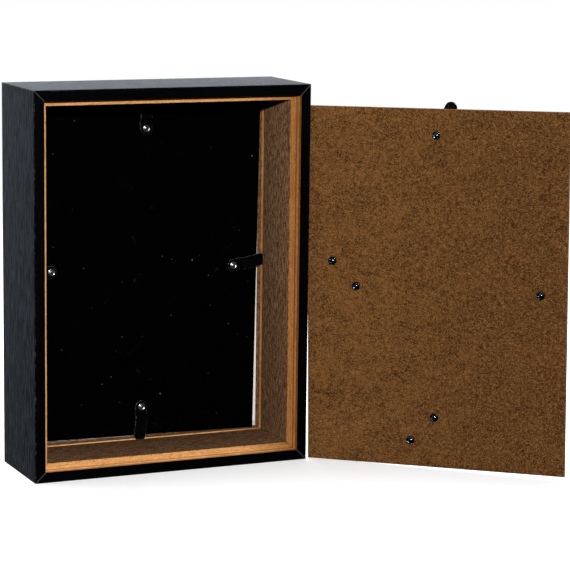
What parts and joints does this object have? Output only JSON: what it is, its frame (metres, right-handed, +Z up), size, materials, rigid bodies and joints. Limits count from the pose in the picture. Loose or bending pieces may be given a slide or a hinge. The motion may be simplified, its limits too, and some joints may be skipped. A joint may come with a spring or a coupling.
{
  "type": "shadow box",
  "caption": "Deep black rectangular shadow box with mitred rails, glazed front, inner panel held by turn buttons, and a loose fibreboard back stood beside the open rear.",
  "frame": {"origin": "middle of the underside of the case", "axes": "+Z up, -Y out of the open rear, +Y out of the glazed front, +X towards the loose board"},
  "size_m": [0.3461, 0.1968, 0.27],
  "materials": {
    "black_foil": "satin black wood-grain foil on fibreboard, raw brown inside",
    "raw_board": "raw fibreboard, mottled brown",
    "black_board": "smooth black coated board, semi-gloss",
    "glass": "clear float glass",
    "white_paper": "matt white paper",
    "black_steel": "blackened spring steel",
    "bright_steel": "nickel-plated steel"
  },
  "bodies": {
    "case": {"top_rail": "black_foil", "bottom_rail": "black_foil", "left_rail": "black_foil", "right_rail": "black_foil", "front_glass": "glass", "insert_sheet": "white_paper", "inner_panel": "black_board", "inner_rivet_top": "bright_steel", "inner_rivet_right": "bright_steel", "inner_rivet_bottom": "bright_steel", "inner_rivet_left": "bright_steel"},
    "back_board": {"back_board": "raw_board", "back_rivet_top": "black_steel", "back_rivet_right": "black_steel", "back_rivet_bottom": "black_steel", "back_rivet_left": "black_steel", "hanger_strap_side": "bright_steel", "hanger_strap_foot": "bright_steel", "hanger_rivet_side": "black_steel", "hanger_rivet_foot": "black_steel"},
    "inner_button_top": {"inner_button_top": "black_steel"},
    "inner_button_right": {"inner_button_right": "black_steel"},
    "inner_button_bottom": {"inner_button_bottom": "black_steel"},
    "inner_button_left": {"inner_button_left": "black_steel"},
    "back_button_top": {"back_button_top": "black_steel"},
    "back_button_right": {"back_button_right": "black_steel"},
    "back_button_bottom": {"back_button_bottom": "black_steel"},
    "back_button_left": {"back_button_left": "black_steel"},
    "hanger_ring_foot": {"hanger_ring_foot": "bright_steel"},
    "hanger_ring_side": {"hanger_ring_side": "bright_steel"}
  },
  "joints": [
    {"name": "back_board_swing", "type": "hinge", "parent": "case", "child": "back_board", "pos_m": [0.09798, -0.03402, 0], "axis": [-0.0079, 0.0031, 1], "range_deg": [-136.65, 0]},
    {"name": "inner_button_top_turn", "type": "hinge", "parent": "case", "child": "inner_button_top", "pos_m": [0.00157, 0.02625, 0.23585], "axis": [0, 1, 0], "continuous": true},
    {"name": "inner_button_right_turn", "type": "hinge", "parent": "case", "child": "inner_button_right", "pos_m": [0.06959, 0.02625, 0.13388], "axis": [0, 1, 0], "continuous": true},
    {"name": "inner_button_bottom_turn", "type": "hinge", "parent": "case", "child": "inner_button_bottom", "pos_m": [-0.00157, 0.02625, 0.03408], "axis": [0, 1, 0], "continuous": true},
    {"name": "inner_button_left_turn", "type": "hinge", "parent": "case", "child": "inner_button_left", "pos_m": [-0.06959, 0.02625, 0.13605], "axis": [0, 1, 0], "continuous": true},
    {"name": "back_button_top_turn", "type": "hinge", "parent": "back_board", "child": "back_button_top", "pos_m": [0.17289, -0.09198, 0.23745], "axis": [0.6865, 0.7272, 0], "continuous": true},
    {"name": "back_button_right_turn", "type": "hinge", "parent": "back_board", "child": "back_button_right", "pos_m": [0.22921, -0.14515, 0.1299], "axis": [0.6865, 0.7272, 0], "continuous": true},
    {"name": "back_button_bottom_turn", "type": "hinge", "parent": "back_board", "child": "back_button_bottom", "pos_m": [0.1628, -0.08245, 0.01971], "axis": [0.6865, 0.7272, 0], "range_deg": [-32, 103]},
    {"name": "back_button_left_turn", "type": "hinge", "parent": "back_board", "child": "back_button_left", "pos_m": [0.11886, -0.04098, 0.14482], "axis": [0.6865, 0.7272, 0], "range_deg": [-72, 78]},
    {"name": "hanger_ring_foot_flip", "type": "hinge", "parent": "back_board", "child": "hanger_ring_foot", "pos_m": [0.17646, -0.09295, 0.02998], "axis": [0.7271, -0.6864, 0.0157], "range_deg": [0, 160]},
    {"name": "hanger_ring_side_flip", "type": "hinge", "parent": "back_board", "child": "hanger_ring_side", "pos_m": [0.12753, -0.04675, 0.12768], "axis": [0.0114, -0.0108, -0.9999], "range_deg": [0, 160]}
  ]
}
